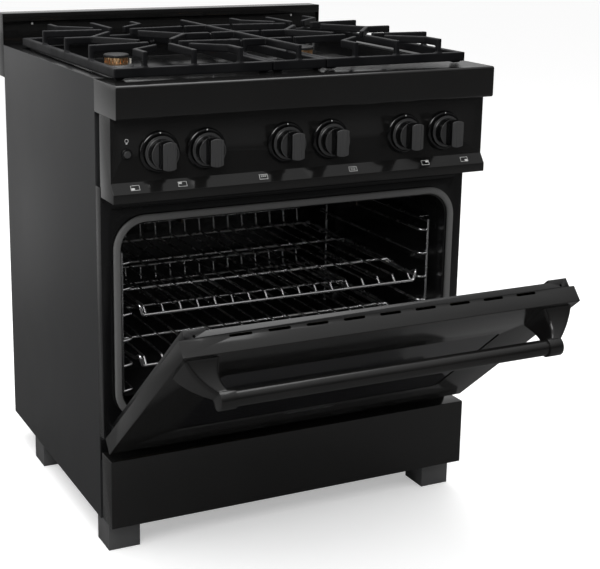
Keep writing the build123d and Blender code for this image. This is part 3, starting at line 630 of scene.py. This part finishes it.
class RANGE_OT_sheet_metal(bpy.types.Operator):
    """Side panels, fascia, control panel, backguard, frame, kick panel and legs with folded edges"""

    bl_idname = "range.sheet_metal"
    bl_label = "Sheet metal"

    def execute(self, context):
        for node in ("front_fascia", "control_panel", "kick_panel", "backguard"):
            softened(node, sizes().sheet_edge, segments=3)
        for node in ("side_panel_left", "side_panel_right", "leg_front_left", "leg_front_right",
                     "leg_rear_left", "leg_rear_right", "front_frame", "rear_screws", "cord_gland"):
            softened(node, sizes().small_edge)
        for node in ("front_rail", "rear_panel", "base_pan", "gas_manifold", "gas_feed_pipe", "gas_valves",
                     "hinge_brackets"):
            kept(node)
        self.plugs()
        return {"FINISHED"}

    def plugs(self):
        """Pale plugs in the two holes of the backguard's recess."""
        low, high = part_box("backguard")
        from_middle, from_front, from_top = 0.312, 0.012, 0.023
        radius, seat = 0.0028, -0.001
        dome = [(0, 0.0012), (0.0022, 0.0009), (radius, 0.0002)]
        bm = bmesh.new()
        for side in (-1, 1):
            centre = Vector((side * from_middle, low.y + from_front, high.z - from_top))
            lathed(bm, dome + [(radius, seat), (0, seat)], centre, OUT, steps=24)
        finish_piece(from_bmesh("guard_plugs", bm), "backguard", "print_white")


class RANGE_OT_cooktop(bpy.types.Operator):
    """Deck, burner bases, brass heads, caps and igniters"""

    bl_idname = "range.cooktop"
    bl_label = "Cooktop and burners"

    def execute(self, context):
        for node in ("cooktop_deck", "burner_bases", "burner_heads", "burner_caps"):
            softened(node, sizes().small_edge)
        kept("igniters")
        return {"FINISHED"}


class RANGE_OT_grates(bpy.types.Operator):
    """The three cast grates, with the eased edges of a sand casting"""

    bl_idname = "range.grates"
    bl_label = "Cast grates"

    def execute(self, context):
        for node in ("grate_left", "grate_center", "grate_right"):
            piece = clean_copy(node, "_casting")
            applied(piece, ("REMESH", {"mode": "VOXEL", "voxel_size": sizes().cast_grain}),
                    ("SMOOTH", {"factor": 0.5, "iterations": sizes().cast_rounds}),
                    ("DECIMATE", {"ratio": 0.35}))
            finish_piece(piece, node, replaced=(node,), degrees=60.0)
        return {"FINISHED"}


class RANGE_OT_knobs(bpy.types.Operator):
    """Knobs with their bezels, index dots and the lamp button"""

    bl_idname = "range.knobs"
    bl_label = "Controls"

    def execute(self, context):
        dots = bmesh.new()
        bezels = bmesh.new()
        low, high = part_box("knob_bezels")
        radius = (high.z - low.z) / 2
        depth = high.y - low.y
        gap, flat, dot_sunk, dot_share = 0.0015, 0.0006, 0.0008, 0.62
        for node, _, _ in CONTROLS:
            self.knob(node)
            knob_low, knob_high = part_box(node)
            rim = (knob_high.x - knob_low.x) / 2 + gap
            span = radius - rim - flat
            centre = middle(node)
            centre.y = high.y
            self.bezel(bezels, centre, radius, rim, span, depth)
            self.dot(dots, centre + Vector((0, -depth + dot_sunk, radius - span * dot_share)))
        rings = from_bmesh("bezel_rings", bezels)
        finish_piece(rings, "knob_bezels", replaced=("knob_bezels",), degrees=45.0)
        finish_piece(from_bmesh("bezel_dots", dots), "knob_bezels", "print_white")
        softened("button_ring", sizes().small_edge)
        softened("lamp_button", sizes().small_edge, segments=3)
        return {"FINISHED"}

    def bezel(self, bm, centre, radius, rim, span, depth):
        """Ring with a short outer wall that rounds in over a span to the rim, where the knob stands."""
        bore, wall, chamfer = 0.006, 0.0022, 0.0004
        seat = depth - 0.003
        profile = [(bore, 0), (radius - chamfer, 0), (radius, chamfer), (radius, wall)]
        steps = 6
        for step in range(steps + 1):
            share = step / steps
            angle = math.radians(90 * share)
            profile.append((radius - span * (1 - math.cos(angle)) - 0.0002 * share,
                            wall + (depth - wall) * math.sin(angle)))
        profile += [(rim, depth - 0.0005), (rim, seat), (bore, seat), (bore, 0)]
        lathed(bm, profile, centre, OUT, steps=96)

    def dot(self, bm, centre):
        """Raised index dot."""
        seat = -0.0006
        profile = [(0, 0.0011), (0.0008, 0.00095), (0.0013, 0.0004), (0.0014, seat), (0, seat)]
        lathed(bm, profile, centre, OUT, steps=20)

    def knob(self, node):
        """Skirt and drum turned in one, with a shallow dish in the drum's face and a grip bar across it."""
        low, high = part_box(node)
        centre = middle(node)
        centre.y = high.y
        skirt = (high.x - low.x) / 2
        face = high.y - low.y
        drum = skirt - 0.0045
        ledge = face - 0.020
        dish = ledge - 0.0008
        bore, bore_depth = 0.0032, 0.010
        skirt_depth, skirt_round, drum_round, chamfer = 0.0060, 0.0015, 0.0009, 0.0006
        profile = [(bore, 0.0), (skirt - chamfer, 0.0), (skirt, chamfer), (skirt, skirt_depth)]
        profile += rounded_corner(skirt - skirt_round, skirt_depth, skirt_round)
        profile += [(drum + 0.0012, 0.0076), (drum, 0.0086)]
        profile += rounded_corner(drum - drum_round, ledge - drum_round, drum_round)
        profile += [(drum - 0.0026, ledge), (drum - 0.0032, dish), (0.0, dish)]
        bm = bmesh.new()
        lathed(bm, profile, centre, OUT, steps=96)
        lathed(bm, [(bore, 0.0), (bore, bore_depth), (0, bore_depth)], centre, OUT, steps=96)
        grip_radius, grip_half, grip_foot = drum - 0.0004, 0.0125, ledge - 0.002
        self.grip(bm, centre, grip_radius, grip_half, grip_foot, face)
        bmesh.ops.remove_doubles(bm, verts=bm.verts, dist=TOUCHING)
        piece = finish_piece(from_bmesh(node + "_turned", bm), node, replaced=(node,), degrees=32.0)
        self.gloss_sides(piece)

    def gloss_sides(self, piece):
        """The bezel's gloss on all faces but those that look out of the front."""
        piece.data.materials.append(MATERIALS["bezel_black"])
        facing_out = 0.7
        for polygon in piece.data.polygons:
            polygon.material_index = 0 if -polygon.normal.y > facing_out else 1

    def grip(self, bm, centre, radius, half, low, high):
        """Bar across the drum: two flats joined by round ends, its top edge rounded and its face crowned."""
        steps = 14
        round_in, round_up = 0.0014, 0.0013
        shoulder = high - 0.0016
        layers = [(0.0, low), (0.0, shoulder)]
        for degrees in (30, 60, 90):
            angle = math.radians(degrees)
            layers.append((round_in * (1 - math.cos(angle)), shoulder + round_up * math.sin(angle)))
        rings = []
        for inset, height in layers:
            end_r = radius - inset
            limit = math.acos((half - inset) / end_r)
            ring = []
            for side in (1, -1):
                for step in range(steps + 1):
                    angle = (math.pi - 2 * limit) * step / steps + limit
                    ring.append((side * end_r * math.cos(angle), side * end_r * math.sin(angle), height))
            rings.append([bm.verts.new(Vector(centre) + OUT @ Vector(point)) for point in ring])
        for first, second in zip(rings, rings[1:]):
            bridged(bm, first, second)
        self.crown(bm, centre, rings[-1], steps, radius * 0.6, high)
        bm.faces.new(rings[0])

    def crown(self, bm, centre, top, steps, reach, high):
        """Closes the grip's top ring on a ridge of three points along the bar."""
        ridge = [bm.verts.new(Vector(centre) + OUT @ Vector((0, along, high)))
                 for along in (reach, 0.0, -reach)]
        one_end = steps + 1
        for i in range(steps):
            bm.faces.new((top[i], top[i + 1], ridge[0]))
            bm.faces.new((top[one_end + i], top[one_end + i + 1], ridge[2]))
        bm.faces.new((top[steps], top[one_end], ridge[2], ridge[1], ridge[0]))
        bm.faces.new((top[-1], top[0], ridge[0], ridge[1], ridge[2]))


class RANGE_OT_markings(bpy.types.Operator):
    """Printed burner marks on the sloping lip and a lamp mark by the button"""

    bl_idname = "range.markings"
    bl_label = "Printed marks"

    def execute(self, context):
        slope = self.slope()
        width = sizes().icon_width
        flatness = 0.58
        height = width * flatness
        bm = bmesh.new()
        for node, kind, side in CONTROLS:
            x = middle(node).x + side * sizes().icon_offset
            self.mark(bm, kind, slope, x, width / 2, height / 2)
        finish_piece(from_bmesh("burner_marks", bm), "control_panel", "print_white")
        bm = bmesh.new()
        self.lamp(bm)
        finish_piece(from_bmesh("lamp_mark", bm), "control_panel", "print_white")
        return {"FINISHED"}

    def slope(self):
        """Centre, up direction and outward normal of the sloping lip."""
        panel = frame["nodes"]["control_panel"].data
        leaning = 0.3
        sloping = [p for p in panel.polygons if p.normal.y < -leaning and p.normal.z > leaning]
        if not sloping:
            raise RuntimeError("the control panel has no sloping lip")
        lip = max(sloping, key=lambda polygon: polygon.area)
        points = [panel.vertices[i].co for i in lip.vertices]
        low = min(points, key=lambda point: point.z)
        high = max(points, key=lambda point: point.z)
        up = Vector((0, high.y - low.y, high.z - low.z)).normalized()
        return (low + high) / 2, up, lip.normal.copy()

    def patch(self, bm, slope, x, left, right, low, high):
        """A thin rectangle of print on the lip; its sides are measured from x and the lip's middle."""
        centre, up, normal = slope
        outline = ((left, low), (right, low), (right, high), (left, high))
        lower, upper = ([bm.verts.new(Vector((x + a, centre.y, centre.z)) + up * b + normal * height)
                         for a, b in outline] for height in (-0.0001, PRINT_PROUD))
        bm.faces.new(upper)
        bm.faces.new(lower[::-1])
        bridged(bm, lower, upper)

    def mark(self, bm, kind, slope, x, w, h):
        """A frame 2w wide and 2h high, round a burner's block, the oven's box or the broiler's bars."""
        line = 0.0007
        patches = [(-w, w, h - line, h), (-w, w, -h, -h + line), (-w, -w + line, -h + line, h - line),
                   (w - line, w, -h + line, h - line)]
        if kind == "oven":
            a, b = w * 0.5, h * 0.45
            patches += [(-a, a, b - line, b), (-a, a, -b, -b + line), (-a, -a + line, -b, b),
                        (a - line, a, -b, b)]
        elif kind == "broil":
            patches += [(w * place - line, w * place + line, -h * 0.1, h * 0.55)
                        for place in (-0.45, 0.0, 0.45)]
        else:
            side = -1 if "left" in kind else 1
            rise = -1 if "front" in kind else 1
            margin = 1.6 * line
            patches.append((*sorted((side * w * 0.12, side * (w - margin))),
                            *sorted((rise * h * 0.05, rise * (h - margin)))))
        for sides in patches:
            self.patch(bm, slope, x, *sides)

    def lamp(self, bm):
        """A small bulb: a ring with a cap below it."""
        low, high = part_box("button_ring")
        above, sunk, inner, outer = 0.0135, -0.0002, 0.0028, 0.0035
        centre = Vector(((low.x + high.x) / 2, high.y, high.z + above))
        ring = [(inner, sunk), (inner, PRINT_PROUD), (outer, PRINT_PROUD), (outer, sunk), (inner, sunk)]
        lathed(bm, ring, centre, OUT, steps=28)
        for drop, half in ((0.0043, 0.0016), (0.0055, 0.0012)):
            foot, top = -drop - 0.0004, -drop + 0.0003
            outline = ((-half, foot), (half, foot), (half, top), (-half, top))
            extruded(bm, outline, (sunk, PRINT_PROUD), OUT, centre)


class RANGE_OT_oven(bpy.types.Operator):
    """Oven cavity, floor, ladders, racks, burners, lamp, wool and the door seal"""

    bl_idname = "range.oven"
    bl_label = "Oven"

    def execute(self, context):
        for node in ("oven_cavity", "oven_insulation", "oven_floor", "bake_burner", "broil_burner",
                     "oven_lamp", "rack_ladder_left", "rack_ladder_right", "oven_rack_upper",
                     "oven_rack_lower"):
            kept(node)
        self.seal()
        return {"FINISHED"}

    def seal(self):
        """Bulb seal swept round the oven mouth."""
        low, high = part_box("door_gasket")
        width = sizes().gasket_width
        depth = high.y - low.y
        bend = sizes().gasket_corner - width / 2
        half_x = (high.x - low.x) / 2 - width / 2
        half_z = (high.z - low.z) / 2 - width / 2
        mid_z = (low.z + high.z) / 2
        section = self.bulb(width, depth)
        bm = bmesh.new()
        rings = []
        for x, z, out_x, out_z in self.mouth(half_x, half_z, mid_z, bend):
            rings.append([bm.verts.new((x + out_x * across, high.y - depth / 2 - out, z + out_z * across))
                          for across, out in section])
        for first, second in zip(rings, rings[1:] + rings[:1]):
            bridged(bm, first, second)
        finish_piece(from_bmesh("seal_bulb", bm), "door_gasket", replaced=("door_gasket",), degrees=60.0)

    def mouth(self, half_x, half_z, mid_z, bend, steps=18):
        """Rounded rectangle: each point with its direction outwards."""
        path = []
        for quarter, (side, level) in enumerate(((1, 1), (-1, 1), (-1, -1), (1, -1))):
            for step in range(steps + 1):
                angle = math.radians(90 * quarter + 90 * step / steps)
                path.append((side * (half_x - bend) + bend * math.cos(angle),
                             mid_z + level * (half_z - bend) + bend * math.sin(angle),
                             math.cos(angle), math.sin(angle)))
        return path

    def bulb(self, width, depth, steps=24):
        """The seal's section, an oval a little squared."""
        squareness = 0.8
        section = []
        for step in range(steps):
            angle = 2 * math.pi * step / steps
            across, out = (math.copysign(abs(value) ** squareness, value)
                           for value in (math.cos(angle), math.sin(angle)))
            section.append((across * width / 2, out * depth / 2))
        return section


class RANGE_OT_door(bpy.types.Operator):
    """Door panels, glass, wool, cheeks, trim and the handle"""

    bl_idname = "range.door"
    bl_label = "Door and handle"

    def execute(self, context):
        for node in ("door_outer_panel", "door_inner_liner"):
            softened(node, sizes().small_edge)
        for node in ("door_glass_outer", "door_glass_inner", "door_insulation", "door_hinge_cheeks"):
            kept(node)
        softened("door_trim_plate", sizes().small_edge)
        for node in ("handle_bracket_left", "handle_bracket_right"):
            softened(node, sizes().bracket_edge, segments=3)
        self.bar()
        return {"FINISHED"}

    def bar(self):
        """Round handle bar between its brackets."""
        low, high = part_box("handle_bar")
        radius = (high.y - low.y) / 2
        length = high.x - low.x
        bands = 12
        profile = [(0, 0), (radius, 0)]
        profile += [(radius, length * band / bands) for band in range(1, bands)]
        profile += [(radius, length), (0, length)]
        bm = bmesh.new()
        lathed(bm, profile, Vector((low.x, (low.y + high.y) / 2, (low.z + high.z) / 2)), ALONG, steps=72)
        finish_piece(from_bmesh("handle_tube", bm), "handle_bar", replaced=("handle_bar",), degrees=40.0)


class RANGE_OT_stage(bpy.types.Operator):
    """Pale floor, soft lights and the camera"""

    bl_idname = "range.stage"
    bl_label = "Stage"

    def execute(self, context):
        self.floor()
        self.world(context.scene)
        self.lights()
        self.camera(context.scene)
        context.scene.view_settings.view_transform = "Standard"
        return {"FINISHED"}

    def floor(self):
        """White floor, a little lifted for the camera; seen in the range's gloss it has painted shade near
        the range.
        """
        bm = bmesh.new()
        bmesh.ops.create_grid(bm, x_segments=8, y_segments=8, size=14.0)
        piece = from_bmesh("studio_floor", bm)
        white, lift = grey(0.93), 0.37
        material, tree, shader = start_material("studio_floor", white, rough=0.65, specular=0.0)
        path = tree.nodes.new("ShaderNodeLightPath")
        parts = tree.nodes.new("ShaderNodeSeparateXYZ")
        tree.links.new(own_place(tree), parts.inputs[0])
        # painted shade: in reflections the floor is dark near the range and paler far behind it
        far = ranged(tree, parts.outputs["Y"], 0.0, 1.0, start=1.2, end=3.0)
        painted_floor_shade = blended(tree, far, grey(0.14), grey(0.52))
        shown = blended(tree, path.outputs["Is Glossy Ray"], white, painted_floor_shade)
        tree.links.new(shown, shader.inputs["Base Color"])
        shader.inputs["Emission Color"].default_value = (1, 1, 1, 1)
        lifted = combined(tree, "MULTIPLY", path.outputs["Is Camera Ray"], lift)
        tree.links.new(lifted, shader.inputs["Emission Strength"])
        texture = effect(tree, "texture", size=300.0)
        add_bump(tree, shader, texture.outputs["Height"], depth=0.00003)
        piece.data.materials.append(material)
        piece.location.z = -0.0004

    def world(self, scene):
        """Even white behind the range; a gradient lights it and a darker one shows in its gloss."""
        world = bpy.data.worlds.new("studio")
        scene.world = world
        world.use_nodes = True
        tree = world.node_tree
        tree.nodes.clear()
        out = tree.nodes.new("ShaderNodeOutputWorld")
        seen = tree.nodes.new("ShaderNodeBackground")
        seen.inputs["Color"].default_value = (1, 1, 1, 1)
        lit = tree.nodes.new("ShaderNodeBackground")
        place = tree.nodes.new("ShaderNodeTexCoord")
        parts = tree.nodes.new("ShaderNodeSeparateXYZ")
        tree.links.new(place.outputs["Generated"], parts.inputs[0])
        up = ranged(tree, parts.outputs["Z"], 0.30, 0.95, start=-0.1, end=0.9)
        overhead = ranged(tree, parts.outputs["Z"], 0.07, 0.95, start=0.25, end=0.9)
        behind = ranged(tree, parts.outputs["Y"], 0.0, 0.75, start=0.55, end=0.95)
        gloss = combined(tree, "ADD", overhead, behind)
        path = tree.nodes.new("ShaderNodeLightPath")
        chosen = ranged(tree, path.outputs["Is Glossy Ray"], up, gloss)
        tree.links.new(chosen, lit.inputs["Strength"])
        mix = tree.nodes.new("ShaderNodeMixShader")
        tree.links.new(path.outputs["Is Camera Ray"], mix.inputs[0])
        tree.links.new(lit.outputs[0], mix.inputs[1])
        tree.links.new(seen.outputs[0], mix.inputs[2])
        tree.links.new(mix.outputs[0], out.inputs[0])

    def lights(self):
        """Four soft squares turned to the range's middle: name, place, side of the square and power."""
        target = Vector((0, 0, 0.5))
        plan = (("key", (-1.6, -2.6, 3.0), 1.8, 60), ("left_wash", (-3.4, 0.4, 1.6), 2.2, 32),
                ("top", (0.2, 0.4, 3.2), 2.6, 56), ("right_fill", (3.0, -1.8, 1.6), 2.0, 18))
        for name, place, side, power in plan:
            lamp = bpy.data.lights.new(name, "AREA")
            lamp.shape = "SQUARE"
            lamp.size = side
            lamp.energy = power
            obj = link(name, lamp)
            obj.location = place
            obj.visible_glossy = name != "right_fill"
            obj.rotation_euler = (target - Vector(place)).to_track_quat("-Z", "Y").to_euler()

    def camera(self, scene):
        """A long lens from the front left, a little above the deck."""
        place = Vector((-1.1187, -2.2703, 1.1831))
        yaw, pitch, roll = (math.radians(angle) for angle in (24.72, -13.29, 0.39))
        data = bpy.data.cameras.new("view")
        data.sensor_width = 36.0
        data.lens = 79.2
        data.shift_x = 0.12
        data.shift_y = -0.12
        data.clip_end = 100.0
        obj = link("view", data)
        forward = Vector((math.sin(yaw) * math.cos(pitch), math.cos(yaw) * math.cos(pitch), math.sin(pitch)))
        right = Vector((math.cos(yaw), -math.sin(yaw), 0))
        above = right.cross(forward)
        tilted_right = right * math.cos(roll) + above * math.sin(roll)
        tilted_up = above * math.cos(roll) - right * math.sin(roll)
        turn = Matrix((tilted_right, tilted_up, -forward)).transposed().to_4x4()
        obj.matrix_world = Matrix.Translation(place) @ turn
        scene.camera = obj


class RANGE_PT_panel(bpy.types.Panel):
    """Lists the operators in the sidebar"""

    bl_idname = "RANGE_PT_panel"
    bl_label = "Gas range"
    bl_space_type = "VIEW_3D"
    bl_region_type = "UI"
    bl_category = "Range"

    def draw(self, context):
        for operator in PIECES:
            self.layout.operator(operator.bl_idname)


PIECES = (RANGE_OT_sheet_metal, RANGE_OT_cooktop, RANGE_OT_grates, RANGE_OT_knobs, RANGE_OT_markings,
          RANGE_OT_oven, RANGE_OT_door, RANGE_OT_stage)
CLASSES = (RangeSizes, RangeFinishes, *PIECES, RANGE_PT_panel)


def register():
    for item in CLASSES:
        bpy.utils.register_class(item)
    bpy.types.Scene.range_sizes = PointerProperty(type=RangeSizes)
    bpy.types.Scene.range_finishes = PointerProperty(type=RangeFinishes)


def unregister():
    del bpy.types.Scene.range_finishes
    del bpy.types.Scene.range_sizes
    for item in reversed(CLASSES):
        bpy.utils.unregister_class(item)


def main():
    register()
    MATERIALS.update(build_materials(bpy.context.scene.range_finishes))
    for operator in PIECES:
        group, name = operator.bl_idname.split(".")
        getattr(getattr(bpy.ops, group), name)()


if __name__ == "__main__":
    main()
